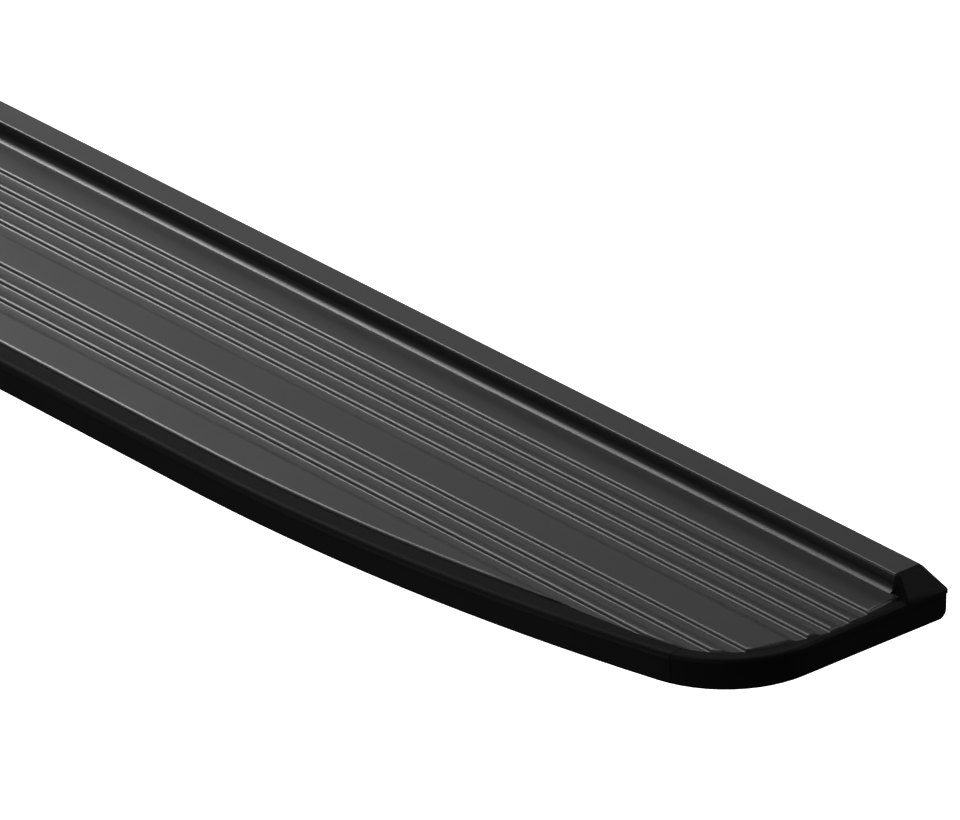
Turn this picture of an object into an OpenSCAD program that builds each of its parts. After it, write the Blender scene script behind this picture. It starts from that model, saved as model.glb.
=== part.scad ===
// Running board for the side of a truck, pickup or van.
// An aluminium tread extrusion carries a moulded side fascia and two moulded end caps. Three pressed-steel
// brackets hang on T-bolts in its two slots and slide along them until they meet the vehicle's sill.
// X runs along the board, Y towards the vehicle and Z up. The origin is the middle of the centre bracket's
// two sill bolt holes, on the pad's top face.
//
// Inside the modules the board has its own section axes: y = 0 is the top inner edge of the raised rail, and
// z = 0 is the tread. in_vehicle_frame() moves everything to the origin above.

/* [Board] */
// Overall length
board_l = 1750; // [1500:10:2100]
// Distance from the rail's top inner edge to the outer face of the fascia
board_w = 184; // [175:1:230]
// Drop from the tread to the bottom of the fascia
fascia_depth = 18.6; // [17.6:0.1:26]
// How far the rail's foot reaches inward of its top edge
rail_foot = 8; // [6:0.5:14]

/* [Plan outline] */
// Length of each tapered end, from the straight side to the tip
taper_l = 359; // [250:1:430]
// Radius of the long sweep at each tapered end
sweep_r = 1270; // [1000:1:1600]
// Radius of the outer corner at each end
corner_r = 60; // [45:1:72]

/* [Rail] */
// Height of the raised inner rail above the tread
rail_h = 9.9; // [6:0.1:14]
// Width of the rail's flat top
rail_w = 17.2; // [14:0.1:24]

/* [Tread] */
// Depth of each tread groove
groove_d = 1.7; // [0.8:0.1:1.8]
// Distance between neighbouring grooves
groove_pitch = 13.1; // [12:0.1:14]
// Distance from the rail's inner edge to the first groove of the inner group
inner_group_y = 39.5; // [37:0.1:46]
// Number of grooves in the inner group
inner_group_n = 4; // [2:1:4]
// Distance from the rail's inner edge to the first groove of the outer group
outer_group_y = 110.8; // [108:0.1:118]
// Number of grooves in the outer group
outer_group_n = 3; // [1:1:3]
// Thickness of the tread under the grooves
skin = 2.7; // [2:0.1:3.2]
// Thickness of the extrusion's webs and lower wall
web = 2.5; // [2:0.1:3]

/* [Slots] */
// Distance from the rail's inner edge to the inner T-slot
inner_slot_y = 45; // [42:0.5:50]
// Distance from the rail's inner edge to the outer T-slot
outer_slot_y = 125; // [120:0.5:130]
// Width of a T-slot's mouth
slot_mouth = 9; // [8.6:0.1:10]
// Width of a T-slot's cavity
slot_cavity_w = 18; // [17:0.5:20]
// Height of a T-slot's cavity
slot_cavity_h = 5.5; // [5:0.1:6]

/* [Mouldings] */
// Wall thickness of the fascia and the end caps
wall = 2; // [1.6:0.1:2]
// How far the wall stands back under the lip's rounded bead
wall_inset = 0.8; // [0.4:0.1:0.8]
// Height of the lip's rounded bead
bead_h = 4; // [3:0.1:5]
// Thickness of the mouldings' top lip and lower leg
lip_t = 2.2; // [1.8:0.1:2.6]
// Drop from the tread to the mouldings' top lip
lip_drop = 1.2; // [0.6:0.1:1.6]
// Width of the lip along the side
side_lip = 13; // [10:0.5:18]
// Width of the lip round the corner
corner_lip = 8; // [6:0.5:10]
// Width of the lip in the middle of the end
end_lip = 3.2; // [3:0.1:8]
// Width of the lip at the rail's end of the end
rail_lip = 7.6; // [6:0.1:10]
// How far back the rail stops to make room for the cap's hood
rail_setback = 11.5; // [11:0.5:16]
// Length of an end cap along the side
cap_l = 38; // [34:1:50]
// Width of the fascia's lower leg
leg_w = 27; // [25:0.5:30]
// Radius of each cap's lower corner on the vehicle's side
cap_corner_r = 5; // [2:0.5:6]
// Distance between the fascia's stiffening ribs
rib_pitch = 115; // [90:1:150]

/* [Brackets] */
// Distance between neighbouring brackets
bracket_pitch = 575; // [480:5:640]
// Width of a bracket along the board
bracket_w = 64; // [58:1:80]
// Thickness of the bracket's steel
bracket_t = 4; // [3:0.5:5]
// Depth of the bracket's turned-down flanges
bracket_flange = 20; // [18:0.5:30]
// How far the sill pad drops below the arm
pad_drop = 9; // [6:0.5:14]
// Distance from the rail's inner edge to the sill bolt holes
sill_bolt_y = 33; // [31:0.5:40]
// Distance between a bracket's two sill bolt holes
sill_bolt_pitch = 32; // [28:1:36]
// Radius of the holes for M8 bolts
bolt_hole_r = 4.5; // [4.3:0.05:5]
// Thickness of the rubber isolator pads
isolator_t = 1.5; // [1:0.1:2.5]

/* [Fasteners] */
// Length of the T-bolts under the head
t_bolt_l = 20; // [19:1:22]
// Distance between the fascia screws on the straight side
fascia_screw_pitch = 120; // [100:1:160]

/* [Hidden] */

seam = 0.3;              // gap between a moulding and the extrusion
slide_gap = 0.1;         // clearance between what slides and the extrusion
screw_gap = 0.05;        // clearance round a screw in its hole
half_l = board_l / 2;
lip_z = -lip_drop;
bottom_z = -fascia_depth;
extrusion_z = bottom_z + lip_t;                  // underside of the extrusion
side_y = -board_w + side_lip;                    // outer side of the extrusion
skin_z = -groove_d - skin;                       // underside of the tread's skin
floor_z = extrusion_z + web;                     // upper face of the extrusion's lower wall
slot_roof_z = floor_z + slot_cavity_h;
slot_block = slot_cavity_w / 2 + web;            // half the width of a T-slot with its walls

sweep_c = [half_l - taper_l, -board_w + sweep_r];
corner_x = half_l - corner_r;
corner_c = [corner_x, sweep_c.y - sqrt(pow(sweep_r - corner_r, 2) - pow(corner_x - sweep_c.x, 2))];
sweep_end = atan2(corner_c.y - sweep_c.y, corner_c.x - sweep_c.x);
sweep_steps = 16;
corner_steps = 12;
lip_blend_x = half_l - 110;                      // the side lip starts to narrow here, towards the corner

// one groove, from its inner edge outward: rounded crest, steep wall, rounded foot, floor and a long ramp
wall_tilt = 60;
crest_r = 1.18 * groove_d;
foot_r = 0.82 * groove_d;
ramp_y = 6;
rail_crest_r = 1.2;
rail_foot_r = 4.5;
edge_r = 1.5;            // rounding of the extrusion's outer top edge
foot_chamfer = 1.5;      // the inner bottom edge

m8_r = 4;
t_head = [14, 16, 4.5];
washer_r = 8;
washer_t = 1.6;
nut_flat = 13;
nut_h = 8;
nut_flange_r = 8.9;
nut_flange_t = 1.6;
nut_gap = 0.05;

screw_r = 1.95;
screw_head_r = 4;
screw_head_h = 2.4;
screw_l = 8;
screw_inset = 22;        // fascia screws' distance from the outer face
cap_screw_x = half_l - 24;
tongue_end_x = half_l - 36;

arm_outer_y = -145;
joggle_y = [rail_foot + 3, rail_foot + 11];
pad_end_y = sill_bolt_y + 13;
arm_z = extrusion_z - slide_gap - isolator_t;    // top face of the arm
pad_z = arm_z - pad_drop;                        // top face of the sill pad
flange_z = arm_z - bracket_flange;
isolator = [40, 34];

function on_circle(r, a) = [r * cos(a), r * sin(a)];
function arc(c, r, a0, a1, n) = [for (i = [0:n]) c + on_circle(r, a0 + (a1 - a0) * i / n)];
function mirrored(points) = [for (i = [len(points) - 1:-1:0]) [-points[i].x, points[i].y]];
function sweep_y(x, inset) = sweep_c.y - sqrt(pow(sweep_r - inset, 2) - pow(x - sweep_c.x, 2));

// ---- plan outlines, as seen from above ----

// the outer face of the mouldings, moved inward by inset
function outer_points(inset) =
    let (end = concat(
        arc(sweep_c, sweep_r - inset, -90, sweep_end, sweep_steps),
        arc(corner_c, corner_r - inset, sweep_end, 0, corner_steps),
        [[half_l - inset, rail_foot]]))
    concat(end, mirrored(end));

// the extrusion's cut edge, grown by gap; its inner side stands at inner_y
function panel_points(gap, inner_y) =
    let (
        sweep_a = asin((lip_blend_x - sweep_c.x) / (sweep_r - side_lip)) - 90,
        end = concat(
            arc(sweep_c, sweep_r - side_lip + gap, -90, sweep_a, sweep_steps),
            arc(corner_c, corner_r - corner_lip + gap, -80, -8, corner_steps),
            [[half_l - end_lip + gap, corner_c.y + corner_r * 0.3],
             [half_l - rail_lip + gap, inner_y]]))
    concat(end, mirrored(end));

module outer_plan(inset = 0) { polygon(outer_points(inset)); }
module panel_plan(gap = 0, inner_y = rail_foot) { polygon(panel_points(gap, inner_y)); }

// everything from z0 up to z1 over a plan shape
module slab(z0, z1) { translate([0, 0, z0]) linear_extrude(z1 - z0) children(); }

module in_vehicle_frame() { translate([0, -sill_bolt_y, -pad_z]) children(); }

// ---- tread extrusion ----

function groove(y) =
    let (crest = [for (t = [0:wall_tilt / 5:wall_tilt]) [crest_r * sin(t), crest_r * (cos(t) - 1)]],
         foot_x = (crest_r + foot_r) * sin(wall_tilt),
         foot = [for (t = [wall_tilt * 0.8:-wall_tilt / 5:0])
             [foot_x - foot_r * sin(t), foot_r * (1 - cos(t)) - groove_d]],
         ramp_l = groove_pitch - 0.1 - ramp_y,
         ramp = [for (u = [0:1 / 8:1]) [ramp_y + ramp_l * u, -groove_d * (1 + cos(180 * u)) / 2]])
    [for (p = concat(crest, foot, ramp)) [y - p.x, p.y]];
function grooves(y, n) = [for (i = [0:n - 1]) each groove(-y - i * groove_pitch)];

section = concat(
    [[rail_foot, lip_z]],
    arc([-0.8, rail_h - 1], 1, 37, 90, 3),
    arc([-rail_w + rail_crest_r, rail_h - rail_crest_r], rail_crest_r, 90, 180, 5),
    arc([-rail_w - rail_foot_r, rail_foot_r], rail_foot_r, 0, -90, 6),
    grooves(inner_group_y, inner_group_n),
    grooves(outer_group_y, outer_group_n),
    arc([side_y + edge_r, -edge_r], edge_r, 90, 180, 5),
    [[side_y, extrusion_z + 1], [side_y + 1, extrusion_z]],
    [[rail_foot - foot_chamfer, extrusion_z], [rail_foot, extrusion_z + foot_chamfer]]);

// hollow chambers between the webs, as [outer y, inner y]
chambers = [
    [-inner_slot_y + slot_block, -rail_w - web],
    [-(inner_slot_y + outer_slot_y) / 2 + web / 2, -inner_slot_y - slot_block],
    [-outer_slot_y + slot_block, -(inner_slot_y + outer_slot_y) / 2 - web / 2],
    [-outer_slot_y - slot_block - 15, -outer_slot_y - slot_block],
    [side_y + web, -outer_slot_y - slot_block - 15 - web]];

module chamber_section(c) { translate([c[0], floor_z]) square([c[1] - c[0], skin_z - floor_z]); }

module rail_chamber() {
    polygon([[-rail_w + web, rail_h - web], [-2.2, rail_h - web], [rail_foot - web, lip_z - web],
             [rail_foot - web, floor_z], [-rail_w + web, floor_z]]);
}

module t_slot_section(y) {
    translate([y - slot_mouth / 2, extrusion_z - 1]) square([slot_mouth, web + 2]);
    translate([y - slot_cavity_w / 2, floor_z]) square([slot_cavity_w, slot_cavity_h]);
    translate([y - slot_cavity_w / 2, slot_roof_z + 2]) square([slot_cavity_w, skin_z - slot_roof_z - 2]);
}

module extrusion_section() {
    difference() {
        polygon(section);
        rail_chamber();
        for (c = chambers) chamber_section(c);
        t_slot_section(-inner_slot_y);
        t_slot_section(-outer_slot_y);
    }
}

module tread_extrusion() color("#3a3a3c") {
    difference() {
        intersection() {
            rotate([90, 0, 90]) linear_extrude(board_l, center = true) extrusion_section();
            slab(extrusion_z - 1, rail_h + 1) panel_plan();
        }
        // the raised rail stops short, to make room for the caps' hoods
        for (side = [-1, 1])
            translate([side > 0 ? half_l - rail_setback : -half_l, -rail_w - rail_foot_r - 1, 0])
                cube([rail_setback, rail_w + rail_foot_r + rail_foot + 2, rail_h + 1]);
        for (p = concat(fascia_screw_places, cap_screw_places(1), cap_screw_places(-1)))
            translate([p.x, p.y, extrusion_z - 1])
                cylinder(h = web + screw_l, r = screw_r + screw_gap, $fn = 32);
    }
}

// ---- mouldings ----

// a C-section that runs round the extrusion's cut edge: lip, wall and lower leg
module rim() {
    difference() {
        union() {
            slab(lip_z - bead_h, lip_z) outer_plan();
            slab(bottom_z, lip_z - bead_h) outer_plan(wall_inset);
        }
        slab(bottom_z - 1, lip_z + 1) panel_plan(seam, rail_foot + 1);
        slab(extrusion_z, lip_z - lip_t) outer_plan(wall_inset + wall);
    }
}

module fascia_range(x) { translate([-x, -board_w - 1]) square([2 * x, board_w - rail_foot]); }

// ribs on each side of the middle one
rib_n = floor((half_l - cap_l - 20) / rib_pitch);

module side_fascia() color("#0c0c0d") {
    reach = half_l - cap_l - seam;
    difference() {
        union() {
            intersection() {
                rim();
                slab(bottom_z - 1, 0) fascia_range(reach);
            }
            // the lower leg, which the screws go through
            slab(bottom_z, extrusion_z) intersection() {
                difference() {
                    outer_plan(wall_inset);
                    outer_plan(leg_w);
                }
                fascia_range(reach);
            }
            // stiffening ribs between the lip and the leg
            for (i = [-rib_n:rib_n])
                slab(extrusion_z - 0.5, lip_z - lip_t + 0.5) intersection() {
                    difference() {
                        outer_plan(wall_inset + wall / 2);
                        panel_plan(seam, rail_foot + 1);
                    }
                    translate([i * rib_pitch - 1, -board_w - 1]) square([2, board_w - rail_foot]);
                }
        }
        for (p = fascia_screw_places)
            translate([p.x, p.y, bottom_z - 1]) cylinder(h = lip_t + 2, r = screw_r + screw_gap, $fn = 32);
    }
}

// the cap's hood over the rail's end, as a side view and as a section across the board
hood_x = half_l - rail_setback + seam;
hood_z = lip_z - lip_t;
hood_draft = 3;          // how far the hood's tread side leans out at its foot

module hood_outside() {
    intersection() {
        translate([0, board_w, 0]) rotate([90, 0, 0]) linear_extrude(2 * board_w)
            polygon([[hood_x, hood_z], [hood_x, rail_h], [hood_x + 1.5, rail_h],
                     [half_l, lip_z], [half_l, hood_z]]);
        rotate([90, 0, 90]) linear_extrude(half_l + 1)
            polygon([[rail_foot, hood_z], [rail_foot, lip_z], [0, rail_h],
                     [-rail_w, rail_h], [-rail_w - hood_draft, hood_z]]);
    }
}

module hood_inside() {
    intersection() {
        translate([0, board_w, 0]) rotate([90, 0, 0]) linear_extrude(2 * board_w)
            polygon([[hood_x - 1, hood_z - 1], [hood_x - 1, rail_h - wall], [hood_x + 0.5, rail_h - wall],
                     [half_l - wall, lip_z - wall * 0.6], [half_l - wall, hood_z - 1]]);
        rotate([90, 0, 90]) linear_extrude(half_l + 1)
            polygon([[rail_foot - wall, hood_z - 1], [rail_foot - wall, lip_z - 1], [-1.4, rail_h - wall],
                     [-rail_w + wall, rail_h - wall], [-rail_w + wall - hood_draft, hood_z - 1]]);
    }
}

// tongues that slide into the extrusion's chambers; their length follows the rounded corner
tongues = [0, 1, 2];

module tongue(c) {
    translate([tongue_end_x, c[0] + seam, floor_z + seam])
        cube([half_l - wall / 2 - tongue_end_x, c[1] - c[0] - 2 * seam, skin_z - floor_z - 2 * seam]);
}

function cap_screw_places(side) =
    [for (i = tongues) [side * cap_screw_x, (chambers[i][0] + chambers[i][1]) / 2]];

module cap_range() { translate([half_l - cap_l, -board_w - 1]) square([cap_l + 1, 2 * board_w]); }

module cap_shell() {
    difference() {
        union() {
            intersection() {
                rim();
                slab(bottom_z - 1, 0) cap_range();
            }
            // bottom plate, which closes the slots
            slab(bottom_z, extrusion_z) intersection() {
                outer_plan(wall_inset);
                cap_range();
            }
            difference() {
                hood_outside();
                hood_inside();
                // the tread's own end lies under the hood
                slab(-rail_h, seam) panel_plan(seam, rail_foot + 1);
            }
            intersection() {
                for (i = tongues) tongue(chambers[i]);
                slab(bottom_z, 0) outer_plan(wall_inset + wall / 2);
            }
        }
        for (p = cap_screw_places(1))
            translate([p.x, p.y, bottom_z - 1]) cylinder(h = screw_l + 2, r = screw_r + screw_gap, $fn = 32);
        // rounded lower corner on the vehicle's side
        translate([half_l - cap_l - 1, 0, 0]) rotate([90, 0, 90]) linear_extrude(cap_l + 2)
            polygon(concat([[rail_foot + 1, bottom_z - 1], [rail_foot + 1, bottom_z + cap_corner_r]],
                           arc([rail_foot - cap_corner_r, bottom_z + cap_corner_r], cap_corner_r, 0, -90, 8),
                           [[rail_foot - cap_corner_r, bottom_z - 1]]));
    }
}

module front_end_cap() color("#0c0c0d") cap_shell();
module rear_end_cap() color("#0c0c0d") mirror([1, 0, 0]) cap_shell();

// ---- screws ----

fascia_screw_n = floor((half_l - taper_l) / fascia_screw_pitch);
taper_screws = [for (x = [taper_l - 40, taper_l - 150]) half_l - x];
fascia_screw_places = concat(
    [for (i = [-fascia_screw_n:fascia_screw_n]) [i * fascia_screw_pitch, -board_w + screw_inset]],
    [for (side = [-1, 1], x = taper_screws) [side * x, sweep_y(x, screw_inset)]]);

// a pan-head self-tapping screw, pointing up, with a cross recess in its head
module pan_screw() {
    difference() {
        union() {
            translate([0, 0, -screw_head_h])
                cylinder(h = screw_head_h / 2, r1 = screw_head_r * 0.75, r2 = screw_head_r, $fn = 32);
            translate([0, 0, -screw_head_h / 2]) cylinder(h = screw_head_h / 2, r = screw_head_r, $fn = 32);
            cylinder(h = screw_l, r = screw_r, $fn = 32);
        }
        for (a = [0, 90]) rotate([0, 0, a]) translate([-2, -0.5, -screw_head_h - 1]) cube([4, 1, 2.4]);
    }
}

module screws(places) color("#1c1c1e") for (p = places) translate([p.x, p.y, bottom_z]) pan_screw();

// ---- brackets, drawn at their own place x along the board ----

// the pressed plate's side view: arm, joggle and sill pad
arm_top = [[arm_outer_y, arm_z], [joggle_y[0], arm_z], [joggle_y[1], pad_z], [pad_end_y, pad_z]];

module bracket_plate_side() {
    polygon(concat(arm_top, [for (i = [3:-1:0]) arm_top[i] - [0, bracket_t]]));
}

module bracket_flange_side() {
    polygon(concat(arm_top, [[pad_end_y, pad_z - 7], [joggle_y[1] + 4, flange_z],
                             [arm_outer_y + 12, flange_z], [arm_outer_y, arm_z - 8]]));
}

module across(x0, w) { translate([x0, 0, 0]) rotate([90, 0, 90]) linear_extrude(w) children(); }

module mounting_bracket(x) color("#1a1a1b") {
    translate([x, 0, 0]) difference() {
        union() {
            across(-bracket_w / 2, bracket_w) bracket_plate_side();
            for (x0 = [-bracket_w / 2, bracket_w / 2 - bracket_t])
                across(x0, bracket_t) bracket_flange_side();
        }
        for (y = [-inner_slot_y, -outer_slot_y])
            translate([0, y, arm_z - bracket_t - 1]) cylinder(h = bracket_t + 2, r = bolt_hole_r, $fn = 48);
        for (dx = [-1, 1] * sill_bolt_pitch / 2)
            translate([dx, sill_bolt_y, pad_z - bracket_t - 1])
                cylinder(h = bracket_t + 2, r = bolt_hole_r, $fn = 48);
        // lightening hole between the T-bolts
        translate([0, -(inner_slot_y + outer_slot_y) / 2, arm_z - bracket_t - 1])
            cylinder(h = bracket_t + 2, r = 14, $fn = 64);
    }
}

module isolators(x) color("#222224") {
    for (y = [-inner_slot_y, -outer_slot_y])
        translate([x, y, arm_z]) difference() {
            translate([-isolator.x / 2, -isolator.y / 2, 0]) cube([isolator.x, isolator.y, isolator_t]);
            translate([0, 0, -1]) cylinder(h = isolator_t + 2, r = bolt_hole_r, $fn = 48);
        }
}

bolt_seat_z = floor_z + slide_gap;       // underside of a T-bolt's head

module t_bolts(x) color("#8f9296") {
    for (y = [-inner_slot_y, -outer_slot_y])
        translate([x, y, bolt_seat_z]) {
            translate([-t_head.x / 2, -t_head.y / 2, 0]) cube(t_head);
            translate([0, 0, -t_bolt_l]) cylinder(h = t_bolt_l + 1, r = m8_r, $fn = 48);
        }
}

module washers(x) color("#8f9296") {
    for (y = [-inner_slot_y, -outer_slot_y])
        translate([x, y, arm_z - bracket_t - washer_t]) difference() {
            cylinder(h = washer_t, r = washer_r, $fn = 48);
            translate([0, 0, -1]) cylinder(h = washer_t + 2, r = m8_r + 0.2, $fn = 48);
        }
}

module nuts(x) color("#8f9296") {
    for (y = [-inner_slot_y, -outer_slot_y])
        translate([x, y, arm_z - bracket_t - washer_t - nut_h]) difference() {
            union() {
                cylinder(h = nut_h, r = nut_flat / sqrt(3), $fn = 6);
                translate([0, 0, nut_h - nut_flange_t])
                    cylinder(h = nut_flange_t, r = nut_flange_r, $fn = 48);
            }
            translate([0, 0, -1]) cylinder(h = nut_h + 2, r = m8_r + nut_gap, $fn = 48);
        }
}

bracket_x = [["front", bracket_pitch], ["centre", 0], ["rear", -bracket_pitch]];

in_vehicle_frame() tread_extrusion();
in_vehicle_frame() side_fascia();
in_vehicle_frame() front_end_cap();
in_vehicle_frame() rear_end_cap();
in_vehicle_frame() screws(fascia_screw_places);  // fascia_screws
in_vehicle_frame() screws(cap_screw_places(1));  // front_cap_screws
in_vehicle_frame() screws(cap_screw_places(-1));  // rear_cap_screws
for (b = bracket_x) {
    in_vehicle_frame() mounting_bracket(b[1]);
    in_vehicle_frame() isolators(b[1]);
    in_vehicle_frame() t_bolts(b[1]);
    in_vehicle_frame() washers(b[1]);
    in_vehicle_frame() nuts(b[1]);
}
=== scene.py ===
import math

import bmesh
import bpy
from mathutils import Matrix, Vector


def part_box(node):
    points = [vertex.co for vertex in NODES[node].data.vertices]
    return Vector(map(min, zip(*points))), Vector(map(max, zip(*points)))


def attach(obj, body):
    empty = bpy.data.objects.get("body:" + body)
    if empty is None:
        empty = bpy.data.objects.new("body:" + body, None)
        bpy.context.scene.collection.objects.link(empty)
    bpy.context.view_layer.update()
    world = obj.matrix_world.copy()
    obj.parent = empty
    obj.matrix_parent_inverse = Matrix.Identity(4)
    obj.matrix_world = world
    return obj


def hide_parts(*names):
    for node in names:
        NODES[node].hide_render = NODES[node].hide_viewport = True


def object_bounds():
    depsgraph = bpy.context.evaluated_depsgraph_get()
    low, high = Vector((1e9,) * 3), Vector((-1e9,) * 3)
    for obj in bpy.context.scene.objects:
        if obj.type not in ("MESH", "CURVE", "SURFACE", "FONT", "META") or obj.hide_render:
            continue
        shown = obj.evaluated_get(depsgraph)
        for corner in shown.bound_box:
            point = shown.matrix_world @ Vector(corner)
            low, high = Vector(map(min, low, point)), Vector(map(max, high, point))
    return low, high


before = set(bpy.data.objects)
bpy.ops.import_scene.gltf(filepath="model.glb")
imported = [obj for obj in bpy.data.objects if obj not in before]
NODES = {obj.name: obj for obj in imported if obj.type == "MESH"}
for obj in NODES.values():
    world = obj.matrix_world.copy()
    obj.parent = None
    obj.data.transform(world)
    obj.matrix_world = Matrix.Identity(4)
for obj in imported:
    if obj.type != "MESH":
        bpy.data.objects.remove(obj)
cad_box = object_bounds()
MM = 0.001
BRACKETS = ("front", "centre", "rear")
ENDS = ("front", "rear")

# ---- main sizes: these five repeat the CAD part's ----

RAIL_H = 9.9 * MM              # the rail's height above the tread
RAIL_FOOT = 8 * MM             # from the rail's crest to its foot on the vehicle's side
BEAD_H = 4 * MM                # from the lip down to the bead's lower edge
RAIL_SETBACK = 11.5 * MM       # from the board's end to the rail's cut end
CAP_CORNER_R = 5 * MM          # an end cap's lower corner, towards the vehicle

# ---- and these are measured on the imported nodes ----

board_lo, board_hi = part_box("tread_extrusion")
fascia_lo, fascia_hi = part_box("side_fascia")
END_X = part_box("front_end_cap")[1].x
FLOOR_Z = cad_box[0].z
TREAD_Z = board_hi.z - RAIL_H
RAIL_Y = board_hi.y - RAIL_FOOT
LIP_Z = fascia_hi.z
BOTTOM_Z = fascia_lo.z
MIDDLE = Vector((0, (fascia_lo.y + board_hi.y) / 2, 0))

# ---- tolerances ----

CUT = 0.001 * MM               # a plane cut snaps to points this close
MERGE = 0.002 * MM             # points this close become one
NEAR = 0.01 * MM               # two coordinates this close are the same
AT_EDGE = 0.1 * MM             # an edge this close to a height lies on it


# ---- mesh helpers ----

def merge_points(bm):
    bmesh.ops.remove_doubles(bm, verts=bm.verts, dist=MERGE)


def merge_faces(bm):
    """Turns the triangles of each flat face into one face."""
    merge_points(bm)
    bmesh.ops.dissolve_limit(bm, angle_limit=math.radians(0.4), verts=bm.verts, edges=bm.edges,
                             delimit={"NORMAL"})


def merged_copy(node):
    """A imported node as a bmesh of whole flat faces."""
    bm = bmesh.new()
    bm.from_mesh(NODES[node].data)
    merge_faces(bm)
    return bm


def only_verts(geom):
    return [item for item in geom if isinstance(item, bmesh.types.BMVert)]


def slice_across(bm, point, normal):
    """Divides every face that crosses a plane."""
    bmesh.ops.bisect_plane(bm, geom=bm.verts[:] + bm.edges[:] + bm.faces[:], dist=CUT,
                           plane_co=point, plane_no=normal)


def bevel(bm, edges, width, segments):
    if edges:
        bmesh.ops.bevel(bm, geom=edges, offset=width, offset_type="OFFSET", segments=segments,
                        profile=0.5, affect="EDGES", material=-1, clamp_overlap=True)


def smooth_by_angle(bm, degrees):
    """Shades every face smooth and keeps the edges sharper than this hard."""
    limit = math.radians(degrees)
    for face in bm.faces:
        face.smooth = True
    for edge in bm.edges:
        edge.smooth = len(edge.link_faces) == 2 and edge.calc_face_angle(0) < limit


def sharp_edges(bm, degrees, keep=lambda edge: True):
    """The edges that bend by more than this, and that keep accepts."""
    limit = math.radians(degrees)
    return [edge for edge in bm.edges
            if len(edge.link_faces) == 2 and edge.calc_face_angle(0) > limit and keep(edge)]


def middle(edge):
    return (edge.verts[0].co + edge.verts[1].co) / 2


def block(lo, hi):
    """A box between two corners."""
    bm = bmesh.new()
    bmesh.ops.create_cube(bm, size=1)
    bmesh.ops.scale(bm, vec=hi - lo, verts=bm.verts)
    bmesh.ops.translate(bm, vec=(lo + hi) / 2, verts=bm.verts)
    return bm


def combined(first, second):
    """Two bmeshes as one."""
    mesh = bpy.data.meshes.new("part")
    second.to_mesh(mesh)
    second.free()
    first.from_mesh(mesh)
    bpy.data.meshes.remove(mesh)
    return first


# ---- object helpers ----

def linked_object(bm, name):
    """An object in the scene, made from a bmesh that is then freed."""
    mesh = bpy.data.meshes.new(name)
    bm.to_mesh(mesh)
    bm.free()
    obj = bpy.data.objects.new(name, mesh)
    bpy.context.scene.collection.objects.link(obj)
    return obj


def piece(bm, name, body, material, replaced):
    """A finished piece that rides a body and stands in for the replaced nodes."""
    obj = linked_object(bm, name)
    obj.data.materials.append(material)
    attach(obj, body)
    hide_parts(*replaced)
    return obj


def keep_flats_flat(obj):
    """Large flat faces keep their own normals next to rounded edges."""
    weighted = obj.modifiers.new("flats", "WEIGHTED_NORMAL")
    weighted.keep_sharp = True
    weighted.weight = 80


def apply_modifiers(obj):
    bpy.context.view_layer.update()
    evaluated = obj.evaluated_get(bpy.context.evaluated_depsgraph_get())
    finished = bpy.data.meshes.new_from_object(evaluated)
    obj.modifiers.clear()
    obj.data = finished


def boolean(target, bm, operation):
    """Joins target with a bmesh, or cuts it by one."""
    tool = linked_object(bm, "tool")
    cut = target.modifiers.new("cut", "BOOLEAN")
    cut.object = tool
    cut.operation = operation
    cut.solver = "EXACT"
    apply_modifiers(target)
    bpy.data.objects.remove(tool)


def taken_out(obj):
    """An object's mesh as a bmesh; the object is removed."""
    bm = bmesh.new()
    bm.from_mesh(obj.data)
    bpy.data.objects.remove(obj)
    return bm


def reshade(obj, degrees):
    """Merges the points that a boolean left apart, and shades the mesh smooth again."""
    bm = bmesh.new()
    bm.from_mesh(obj.data)
    merge_points(bm)
    smooth_by_angle(bm, degrees)
    bm.to_mesh(obj.data)
    bm.free()


# ---- material helpers ----

NOISE_LOW = 0.3                # nearly all of a noise lies between these two
NOISE_HIGH = 0.7


def new_material(name):
    mat = bpy.data.materials.new(name)
    mat.use_nodes = True
    nodes = mat.node_tree.nodes
    return mat, nodes, mat.node_tree.links, nodes["Principled BSDF"]


def object_noise(nodes, links, size, detail=3.0, stretch=(1, 1, 1)):
    """Noise about size metres across, in the piece's own coordinates."""
    coords = nodes.new("ShaderNodeTexCoord")
    mapping = nodes.new("ShaderNodeMapping")
    mapping.inputs["Scale"].default_value = stretch
    noise = nodes.new("ShaderNodeTexNoise")
    noise.inputs["Scale"].default_value = 1 / size
    noise.inputs["Detail"].default_value = detail
    links.new(coords.outputs["Object"], mapping.inputs["Vector"])
    links.new(mapping.outputs["Vector"], noise.inputs["Vector"])
    return noise.outputs["Fac"]


def roughen(nodes, links, shader, source, low, high):
    """Roughness that follows a noise from low to high."""
    span = nodes.new("ShaderNodeMapRange")
    span.inputs["From Min"].default_value = NOISE_LOW
    span.inputs["From Max"].default_value = NOISE_HIGH
    span.inputs["To Min"].default_value = low
    span.inputs["To Max"].default_value = high
    links.new(source, span.inputs["Value"])
    links.new(span.outputs["Result"], shader.inputs["Roughness"])


def tint(nodes, links, shader, source, dark, light):
    """Base colour that follows a noise from dark to light."""
    ramp = nodes.new("ShaderNodeValToRGB")
    ramp.color_ramp.elements[0].position = NOISE_LOW
    ramp.color_ramp.elements[0].color = (*dark, 1)
    ramp.color_ramp.elements[1].position = NOISE_HIGH
    ramp.color_ramp.elements[1].color = (*light, 1)
    links.new(source, ramp.inputs["Fac"])
    links.new(ramp.outputs["Color"], shader.inputs["Base Color"])


def bump(nodes, links, shader, height, depth, strength):
    node = nodes.new("ShaderNodeBump")
    node.inputs["Distance"].default_value = depth
    node.inputs["Strength"].default_value = strength
    links.new(height, node.inputs["Height"])
    links.new(node.outputs["Normal"], shader.inputs["Normal"])


# ---- materials ----

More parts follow.
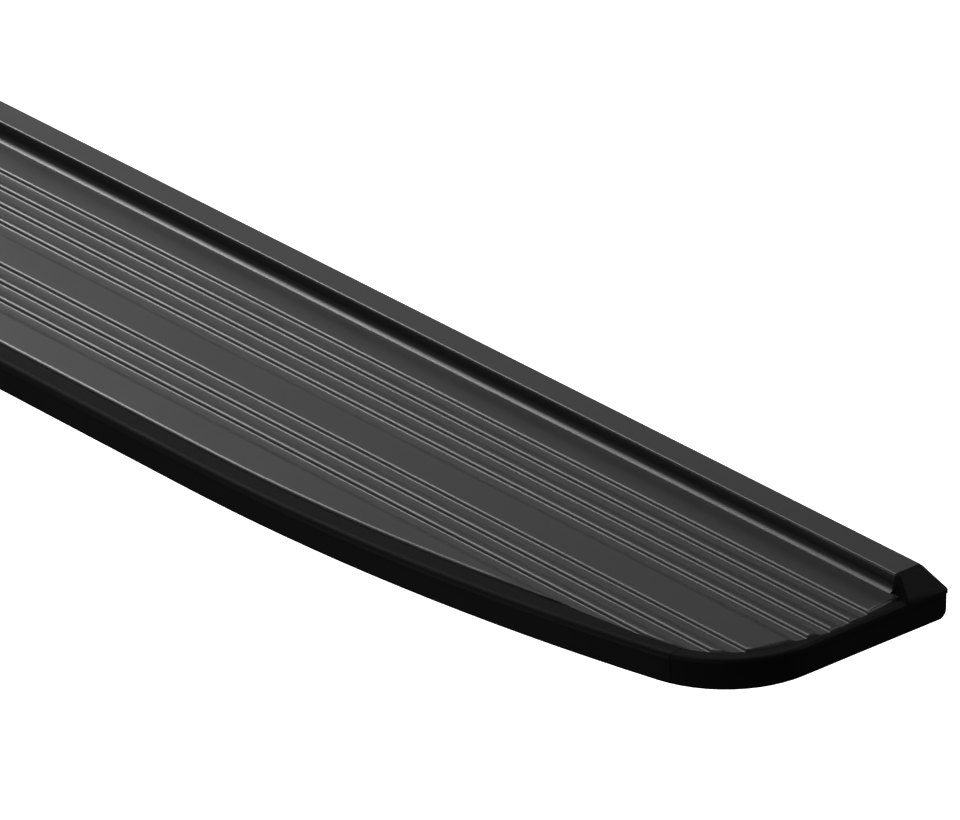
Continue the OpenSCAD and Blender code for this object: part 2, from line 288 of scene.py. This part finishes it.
def powder_coat():
    """Satin black powder coat on the extrusion: fine speckle and slight orange peel."""
    mat, nodes, links, shader = new_material("satin_black_powder_coat")
    speckle = object_noise(nodes, links, size=0.5 * MM)
    drift = object_noise(nodes, links, size=60 * MM, detail=2.0)
    tint(nodes, links, shader, speckle, dark=(0.008, 0.008, 0.0082), light=(0.012, 0.012, 0.0123))
    roughen(nodes, links, shader, drift, low=0.34, high=0.38)
    bump(nodes, links, shader, speckle, depth=0.03 * MM, strength=0.3)
    return mat


def moulded_black():
    """Black moulded plastic with a fine grain and faint flow marks."""
    mat, nodes, links, shader = new_material("moulded_black")
    grain = object_noise(nodes, links, size=0.4 * MM)
    flow = object_noise(nodes, links, size=45 * MM, detail=2.0)
    tint(nodes, links, shader, flow, dark=(0.0030, 0.0030, 0.0031), light=(0.0042, 0.0042, 0.0043))
    roughen(nodes, links, shader, flow, low=0.52, high=0.6)
    shader.inputs["Specular IOR Level"].default_value = 0.04
    bump(nodes, links, shader, grain, depth=0.01 * MM, strength=0.3)
    return mat


def electrocoat():
    """Black electrocoat on pressed steel, a little uneven and slightly glossy."""
    mat, nodes, links, shader = new_material("black_electrocoat")
    peel = object_noise(nodes, links, size=1.2 * MM)
    cloud = object_noise(nodes, links, size=25 * MM, detail=4.0)
    tint(nodes, links, shader, cloud, dark=(0.010, 0.010, 0.0105), light=(0.019, 0.019, 0.0195))
    roughen(nodes, links, shader, cloud, low=0.34, high=0.48)
    bump(nodes, links, shader, peel, depth=0.04 * MM, strength=0.4)
    return mat


def black_zinc():
    """Black zinc plate on the screws, slightly uneven."""
    mat, nodes, links, shader = new_material("black_zinc")
    cloud = object_noise(nodes, links, size=3 * MM, detail=4.0)
    tint(nodes, links, shader, cloud, dark=(0.014, 0.014, 0.016), light=(0.032, 0.031, 0.033))
    roughen(nodes, links, shader, cloud, low=0.3, high=0.42)
    shader.inputs["Metallic"].default_value = 0.6
    return mat


def clear_zinc():
    """Clear zinc plate: bluish steel with soft blotches and fine turning marks."""
    mat, nodes, links, shader = new_material("clear_zinc")
    blotch = object_noise(nodes, links, size=4 * MM, detail=4.0)
    fine = object_noise(nodes, links, size=0.3 * MM, detail=2.0, stretch=(1, 1, 6))
    tint(nodes, links, shader, blotch, dark=(0.50, 0.51, 0.53), light=(0.66, 0.67, 0.68))
    roughen(nodes, links, shader, blotch, low=0.26, high=0.4)
    shader.inputs["Metallic"].default_value = 1.0
    bump(nodes, links, shader, fine, depth=0.01 * MM, strength=0.4)
    return mat


def pad_rubber():
    """Dull black rubber with a crumbly grain."""
    mat, nodes, links, shader = new_material("pad_rubber")
    crumb = object_noise(nodes, links, size=0.8 * MM, detail=4.0)
    tint(nodes, links, shader, crumb, dark=(0.016, 0.016, 0.016), light=(0.026, 0.026, 0.025))
    roughen(nodes, links, shader, crumb, low=0.72, high=0.86)
    bump(nodes, links, shader, crumb, depth=0.05 * MM, strength=0.5)
    return mat


COAT = powder_coat()
MOULDING = moulded_black()
ECOAT = electrocoat()
BLACK_ZINC = black_zinc()
ZINC = clear_zinc()
RUBBER = pad_rubber()


# ---- tread extrusion ----

TREAD_ROUND = 2.2 * MM         # rounding of the tread's cut edge
TREAD_ROUND_STEPS = 7
TREAD_HARD = 32                # degrees
PANEL_T = 12 * MM              # the rounded panel only has to be thicker than the rounding
WASTE_MARGIN = 5 * MM          # the waste reaches this far past the board's sides
WASTE_UNDER = 0.5 * MM         # below the rounding
WASTE_OVER = 2 * MM            # above the tread
WASTE_SETBACK = 21 * MM        # from the rail's crest, so that the rail stays whole


def rounded_panel():
    """The tread's plan outline as a solid, with its upper edge rounded."""
    bm = merged_copy("tread_extrusion")
    bmesh.ops.scale(bm, vec=(1, 1, 0), verts=bm.verts)
    flat = [v.co.copy() for v in bm.verts]
    bm.clear()
    for point in flat:
        for z in (TREAD_Z - PANEL_T, TREAD_Z):
            bm.verts.new((point.x, point.y, z))
    bmesh.ops.remove_doubles(bm, verts=bm.verts, dist=NEAR)
    hull = bmesh.ops.convex_hull(bm, input=bm.verts)
    bmesh.ops.delete(bm, geom=only_verts(hull["geom_interior"]), context="VERTS")
    bmesh.ops.dissolve_limit(bm, angle_limit=math.radians(0.2), verts=bm.verts, edges=bm.edges)
    upper = [e for e in bm.edges if all(v.co.z > TREAD_Z - NEAR for v in e.verts)]
    bevel(bm, upper, TREAD_ROUND, TREAD_ROUND_STEPS)
    return bm


def edge_waste():
    """What the rounding takes off the tread: all that is outside the rounded panel, beyond the rail."""
    lo = Vector((board_lo.x - WASTE_MARGIN, board_lo.y - WASTE_MARGIN,
                 TREAD_Z - TREAD_ROUND - WASTE_UNDER))
    hi = Vector((board_hi.x + WASTE_MARGIN, RAIL_Y - WASTE_SETBACK, TREAD_Z + WASTE_OVER))
    waste = linked_object(block(lo, hi), "tool")
    boolean(waste, rounded_panel(), "DIFFERENCE")
    return taken_out(waste)


def tread():
    """The extrusion, its cut edge rounded all round and its grooves shaded smooth."""
    obj = piece(merged_copy("tread_extrusion"), "tread", "board", COAT,
                ["tread_extrusion"])
    boolean(obj, edge_waste(), "DIFFERENCE")
    reshade(obj, TREAD_HARD)
    keep_flats_flat(obj)


# ---- fascia and end caps ----

WIDEST_ROUND = 4 * MM          # the bevel's width; each edge's weight is its share of it
ROUND_STEPS = 5
LIP_ROUND_SIDE = 3.4 * MM
LIP_ROUND_END = 1.7 * MM
BEAD_ROUND = 0.35 * MM
BOTTOM_ROUND = 1.5 * MM
HOOD_ROUND = 1.8 * MM
HOOD_CREASE = 2.6 * MM
HOOD_RISE = 0.3 * MM           # the hood's edges lie this far above the lip
HOOD_INSET = 1 * MM            # and this far beyond the rail's cut end
HOOD_CORE = (4 * MM, 8.6 * MM, 2 * MM)  # in its hollow, from the rail's end, crest and tread
FASCIA_CLEAR = 2 * MM          # an end face further in than this is the fascia's cut end
CROSS_PITCH = 24 * MM
MOULDING_SHARP = 25            # degrees; flatter edges are not looked at for rounding
MOULDING_HARD = 35             # degrees
CORNER_STEP = 11.25            # degrees between the points of a cap's lower corner
CORNER_POINTS = 6              # of which the back wall follows these
BACK_WALL_X = (7 * MM, 1.8 * MM)  # where the back wall starts and stops, from the board's end
BACK_WALL_TOP = 1 * MM         # below the lip


def on_outer_wall(face):
    """True for an upright face that looks away from the middle and isn't the fascia's cut end."""
    normal = face.normal
    out = face.calc_center_median() - MIDDLE
    upright = abs(normal.z) < 0.02
    outward = normal.x * out.x + normal.y * out.y > 0
    cut_end = abs(normal.x) > 0.999 and abs(out.x) < END_X - FASCIA_CLEAR
    return upright and outward and normal.y < 0.5 and not cut_end


def lip_round(normal):
    """Rounding of the lip: broad along the side, narrow at the end, where the lip is narrow too."""
    end_share = abs(normal.x) ** 1.5
    return LIP_ROUND_SIDE * (1 - end_share) + LIP_ROUND_END * end_share


def hood_skin(edge):
    """True for an edge on the outside of an end cap's hood, and not inside its hollow."""
    side = math.copysign(1, middle(edge).x)
    x, y, z = HOOD_CORE
    core = Vector((side * (END_X - RAIL_SETBACK + x), RAIL_Y - y, TREAD_Z + z))
    return all((f.calc_center_median() - core).dot(f.normal) > 0 for f in edge.link_faces)


def edge_round(edge):
    """How widely one sharp edge of a moulding is rounded; 0 leaves it sharp."""
    walls = [f for f in edge.link_faces if on_outer_wall(f)]
    x, _, z = middle(edge)
    if walls and abs(edge.verts[0].co.z - edge.verts[1].co.z) < NEAR:
        if abs(z - LIP_Z) < AT_EDGE:
            return lip_round(walls[0].normal)
        if abs(z - LIP_Z + BEAD_H) < AT_EDGE:
            return BEAD_ROUND
        if abs(z - BOTTOM_Z) < AT_EDGE:
            return BOTTOM_ROUND
    in_hood = z > LIP_Z + HOOD_RISE and abs(x) > END_X - RAIL_SETBACK + HOOD_INSET
    if in_hood and hood_skin(edge):
        return HOOD_ROUND if edge.is_convex else HOOD_CREASE
    return 0


def cross_cuts(bm, pitch):
    """Divides long curved faces across the board, so that none bends round a hollow outline."""
    lo = min(v.co.x for v in bm.verts)
    hi = max(v.co.x for v in bm.verts)
    count = int((hi - lo) / pitch)
    for i in range(1, count):
        slice_across(bm, (lo + (hi - lo) * i / count, 0, 0), (1, 0, 0))


def back_wall(side):
    """The wall that closes an end cap towards the vehicle, down to the cap's rounded corner."""
    inner_y = board_hi.y - CAP_CORNER_R
    angles = [math.radians(-CORNER_STEP * i) for i in reversed(range(CORNER_POINTS))]
    outline = [(inner_y + CAP_CORNER_R * math.cos(a), BOTTOM_Z + CAP_CORNER_R * (1 + math.sin(a)))
               for a in angles]
    top = LIP_Z - BACK_WALL_TOP
    outline += [(board_hi.y, top), (outline[0][0], top)]
    x0, x1 = sorted(side * (END_X - inset) for inset in BACK_WALL_X)
    bm = bmesh.new()
    face = bm.faces.new([bm.verts.new((x0, y, z)) for y, z in outline])
    grown = bmesh.ops.extrude_face_region(bm, geom=[face])
    bmesh.ops.translate(bm, vec=(x1 - x0, 0, 0), verts=only_verts(grown["geom"]))
    bmesh.ops.recalc_face_normals(bm, faces=bm.faces)
    return bm


def closed_cap(end):
    """An end cap with its back wall added."""
    cap = linked_object(merged_copy(f"{end}_end_cap"), "tool")
    boolean(cap, back_wall(1 if end == "front" else -1), "UNION")
    bm = taken_out(cap)
    merge_faces(bm)
    return bm


def trim(bm, node, name):
    """A moulding with its lip, bead and lower edge rounded; a cap's hood is rounded as well."""
    cross_cuts(bm, CROSS_PITCH)
    weight = bm.edges.layers.float.new("bevel_weight_edge")
    for edge in sharp_edges(bm, MOULDING_SHARP):
        edge[weight] = edge_round(edge) / WIDEST_ROUND
    smooth_by_angle(bm, MOULDING_HARD)
    obj = piece(bm, name, "board", MOULDING, [node])
    rounding = obj.modifiers.new("rounding", "BEVEL")
    rounding.limit_method = "WEIGHT"
    rounding.width = WIDEST_ROUND
    rounding.segments = ROUND_STEPS
    rounding.profile = 0.5
    rounding.use_clamp_overlap = False
    keep_flats_flat(obj)


# ---- brackets, pads, washers and screws ----

BEND_SHARP = 60                # degrees
BEND_ROUND = 2.5 * MM
SHEAR_ROUND = 0.4 * MM
PAD_ROUND = 0.4 * MM
STEEL_ROUND = 0.25 * MM        # washers and screws
SMALL_SHARP = 50               # degrees; sharper edges of a small part are rounded
SMALL_HARD = 40                # degrees


def bracket(place):
    """Pressed steel: its bends and sheared edges are rounded."""
    node = f"{place}_bracket"
    lo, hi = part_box(node)

    def at_bend(edge):
        """True along the top of either side, where the plate turns down."""
        x = middle(edge).x
        lengthwise = abs(edge.verts[0].co.x - edge.verts[1].co.x) < NEAR
        at_side = min(abs(x - lo.x), abs(x - hi.x)) < NEAR
        return lengthwise and at_side and max(f.normal.z for f in edge.link_faces) > 0.5

    bm = merged_copy(node)
    bevel(bm, sharp_edges(bm, BEND_SHARP, at_bend), BEND_ROUND, 4)
    bevel(bm, sharp_edges(bm, SMALL_SHARP), SHEAR_ROUND, 2)
    smooth_by_angle(bm, SMALL_HARD)
    piece(bm, f"{place}_pressed_bracket", f"{place}_mount", ECOAT, [node])


def eased(node, name, body, material, width):
    """A small part with its edges rounded."""
    bm = merged_copy(node)
    bevel(bm, sharp_edges(bm, SMALL_SHARP), width, 2)
    bmesh.ops.dissolve_degenerate(bm, dist=MERGE, edges=bm.edges)
    smooth_by_angle(bm, SMALL_HARD)
    piece(bm, name, body, material, [node])


# ---- threaded fasteners ----

BOLT_R = 4 * MM
BOLT_SIDES = 24
BOLT_POINT = 1.2 * MM          # length of the tapered lower end
THREAD_PITCH = 1.25 * MM
THREAD_DEPTH = 0.65 * MM
THREAD_STEPS = 6               # cuts along each turn of the thread
T_HEAD = Vector((14, 16, 4.5)) * MM
T_HEAD_ROUND = 0.5 * MM
SHANK_OVERLAP = 1 * MM         # how far a shank reaches into its head
BOLT_HARD = 35                 # degrees
NUT_FLANGE_R = 8.9 * MM
NUT_CORNER_R = 7.5 * MM
NUT_FACE_R = 6.4 * MM          # where the chamfer meets the nut's lower face
NUT_CHAMFER_H = 0.65 * MM
NUT_SLOPE_H = 2.6 * MM         # the flange's slope starts this far below its seat
NUT_RIM_H = 1.2 * MM
NUT_TURN_STEPS = 48
NUT_HARD = 30                  # degrees


def threaded_rod(x, y, z0, z1):
    """An upright rod with a helical thread and a pointed lower end."""
    bm = bmesh.new()
    bmesh.ops.create_cone(bm, cap_ends=True, segments=BOLT_SIDES, radius1=BOLT_R, radius2=BOLT_R,
                          depth=z1 - z0)
    bmesh.ops.translate(bm, vec=(0, 0, (z1 - z0) / 2), verts=bm.verts)
    step = THREAD_PITCH / THREAD_STEPS
    for i in range(1, int((z1 - z0) / step)):
        slice_across(bm, (0, 0, i * step), (0, 0, 1))
    for v in bm.verts:
        turn = math.atan2(v.co.y, v.co.x) / (2 * math.pi)
        phase = (v.co.z / THREAD_PITCH - turn) % 1
        depth = THREAD_DEPTH * abs(2 * phase - 1)
        point = max(0, BOLT_POINT - v.co.z)
        share = (BOLT_R - max(depth, point)) / BOLT_R
        v.co.x *= share
        v.co.y *= share
    bmesh.ops.translate(bm, vec=(x, y, z0), verts=bm.verts)
    return bm


def turned(profile, x, y):
    """A solid turned about an upright axis; the profile starts and ends on the axis."""
    bm = bmesh.new()
    verts = [bm.verts.new((r, 0, z)) for r, z in profile]
    edges = [bm.edges.new(pair) for pair in zip(verts, verts[1:])]
    bmesh.ops.spin(bm, geom=verts + edges, cent=(0, 0, 0), axis=(0, 0, 1), angle=2 * math.pi,
                   steps=NUT_TURN_STEPS)
    merge_points(bm)
    bmesh.ops.recalc_face_normals(bm, faces=bm.faces)
    bmesh.ops.translate(bm, vec=(x, y, 0), verts=bm.verts)
    return bm


def tee_bolts(place):
    """Two T-bolts: heads with eased edges on threaded shanks."""
    node = f"{place}_t_bolts"
    lo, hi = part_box(node)
    x = (lo.x + hi.x) / 2
    seat_z = hi.z - T_HEAD.z
    half = T_HEAD / 2
    ys = (lo.y + half.y, hi.y - half.y)
    centres = [Vector((x, y, seat_z + half.z)) for y in ys]
    bm = combined(*[block(centre - half, centre + half) for centre in centres])
    bevel(bm, bm.edges[:], T_HEAD_ROUND, 2)
    obj = piece(bm, f"{place}_tee_bolts", f"{place}_mount", ZINC, [node])
    shanks = combined(*[threaded_rod(x, y, lo.z, seat_z + SHANK_OVERLAP) for y in ys])
    boolean(obj, shanks, "UNION")
    reshade(obj, BOLT_HARD)


def flange_nuts(place):
    """Two flange nuts with chamfered corners and thin, sloping flanges."""
    node = f"{place}_nuts"
    lo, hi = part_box(node)
    x = (lo.x + hi.x) / 2
    profile = [(0, lo.z), (NUT_FACE_R, lo.z), (NUT_CORNER_R, lo.z + NUT_CHAMFER_H),
               (NUT_CORNER_R, hi.z - NUT_SLOPE_H), (NUT_FLANGE_R, hi.z - NUT_RIM_H),
               (NUT_FLANGE_R, hi.z), (0, hi.z)]
    obj = piece(merged_copy(node), f"{place}_flange_nuts", f"{place}_mount", ZINC,
                [node])
    blanks = combined(*[turned(profile, x, y) for y in (lo.y + NUT_FLANGE_R, hi.y - NUT_FLANGE_R)])
    boolean(obj, blanks, "INTERSECT")
    reshade(obj, NUT_HARD)


# ---- the pieces ----

tread()
trim(merged_copy("side_fascia"), "side_fascia", "fascia")
for end in ENDS:
    trim(closed_cap(end), f"{end}_end_cap", f"{end}_cap")
for place in BRACKETS:
    mount = f"{place}_mount"
    bracket(place)
    eased(f"{place}_isolators", f"{place}_pads", mount, RUBBER, PAD_ROUND)
    tee_bolts(place)
    eased(f"{place}_washers", f"{place}_flat_washers", mount, ZINC, STEEL_ROUND)
    flange_nuts(place)
for owner in ("fascia", "front_cap", "rear_cap"):
    eased(f"{owner}_screws", f"{owner}_pan_screws", "board", BLACK_ZINC, STEEL_ROUND)


# ---- floor, lights and camera ----

RIDE_HEIGHT = 0.3              # the board hangs above the ground, as it does on a vehicle
FLOOR_SIZE = 60
FLOOR_GLOW = 0.7
WORLD_STRENGTH = 0.12
CENTRE = (0, 0, 0)
FRONT_END = (END_X - 0.6, -0.1, 0)
LOW_AIM = (END_X - 0.8, -0.1, -0.01)
LIGHTS = (                     # name, place, aim, size in metres, power in watts
    ("overhead", (END_X - 1.0, -0.3, 3.0), FRONT_END, (2.5, 2.0), 42),
    ("key", (END_X - 1.94, -0.02, 1.47), FRONT_END, (0.6, 0.5), 8),
    ("back_key", (END_X - 2.15, 0.35, 1.40), FRONT_END, (0.7, 0.7), 17),
    ("side_key", (END_X - 1.90, -0.60, 1.50), FRONT_END, (0.6, 0.5), 4.5),
    ("back_left", (END_X - 2.6, 1.5, 1.15), FRONT_END, (1.6, 1.0), 2),
    ("rear", (END_X + 0.4, 2.4, 0.9), CENTRE, (1.5, 1.0), 40),
    ("front_right", (END_X + 1.0, -2.6, 1.0), CENTRE, (1.6, 1.0), 14),
    ("low_front", (END_X - 1.2, -2.4, -0.12), LOW_AIM, (1.2, 0.12), 20),
)
CAMERA_AZIMUTH = 48.546        # degrees
CAMERA_ELEVATION = 26.721      # degrees
CAMERA_AIM = Vector((END_X - 0.2949, RAIL_Y - 0.0384, TREAD_Z))
CAMERA_DISTANCE = 6.175
CAMERA_LENS = 458.2
CAMERA_REACH = 100             # nothing further than this is drawn


def floor():
    bpy.ops.mesh.primitive_plane_add(size=FLOOR_SIZE, location=(0, 0, FLOOR_Z - RIDE_HEIGHT))
    plane = bpy.context.object
    plane.name = "floor"
    mat, nodes, links, shader = new_material("pale_floor")
    shader.inputs["Base Color"].default_value = (0.9, 0.9, 0.9, 1)
    shader.inputs["Roughness"].default_value = 0.9
    shader.inputs["Emission Color"].default_value = (1, 1, 1, 1)
    shader.inputs["Emission Strength"].default_value = FLOOR_GLOW
    plane.data.materials.append(mat)
    plane.visible_glossy = False
    plane.visible_diffuse = False


def softbox(name, place, aim, size, power):
    light = bpy.data.lights.new(name, "AREA")
    light.shape = "RECTANGLE"
    light.size, light.size_y = size
    light.energy = power
    lamp = bpy.data.objects.new(name, light)
    bpy.context.scene.collection.objects.link(lamp)
    lamp.location = place
    lamp.rotation_euler = (Vector(aim) - Vector(place)).to_track_quat("-Z", "Y").to_euler()
    lamp.visible_camera = False


def sky():
    """An even white world."""
    world = bpy.context.scene.world or bpy.data.worlds.new("studio")
    bpy.context.scene.world = world
    world.use_nodes = True
    background = world.node_tree.nodes["Background"]
    background.inputs["Color"].default_value = (1, 1, 1, 1)
    background.inputs["Strength"].default_value = WORLD_STRENGTH


def camera():
    azimuth = math.radians(CAMERA_AZIMUTH)
    elevation = math.radians(CAMERA_ELEVATION)
    level = math.cos(elevation)
    back = Vector((math.sin(azimuth) * level, -math.cos(azimuth) * level, math.sin(elevation)))
    data = bpy.data.cameras.new("camera")
    data.lens = CAMERA_LENS
    data.clip_end = CAMERA_REACH
    cam = bpy.data.objects.new("camera", data)
    bpy.context.scene.collection.objects.link(cam)
    cam.location = CAMERA_AIM + back * CAMERA_DISTANCE
    cam.rotation_mode = "QUATERNION"
    cam.rotation_quaternion = (-back).to_track_quat("-Z", "Y")
    bpy.context.scene.camera = cam


floor()
sky()
for settings in LIGHTS:
    softbox(*settings)
camera()
bpy.context.scene.view_settings.view_transform = "Standard"
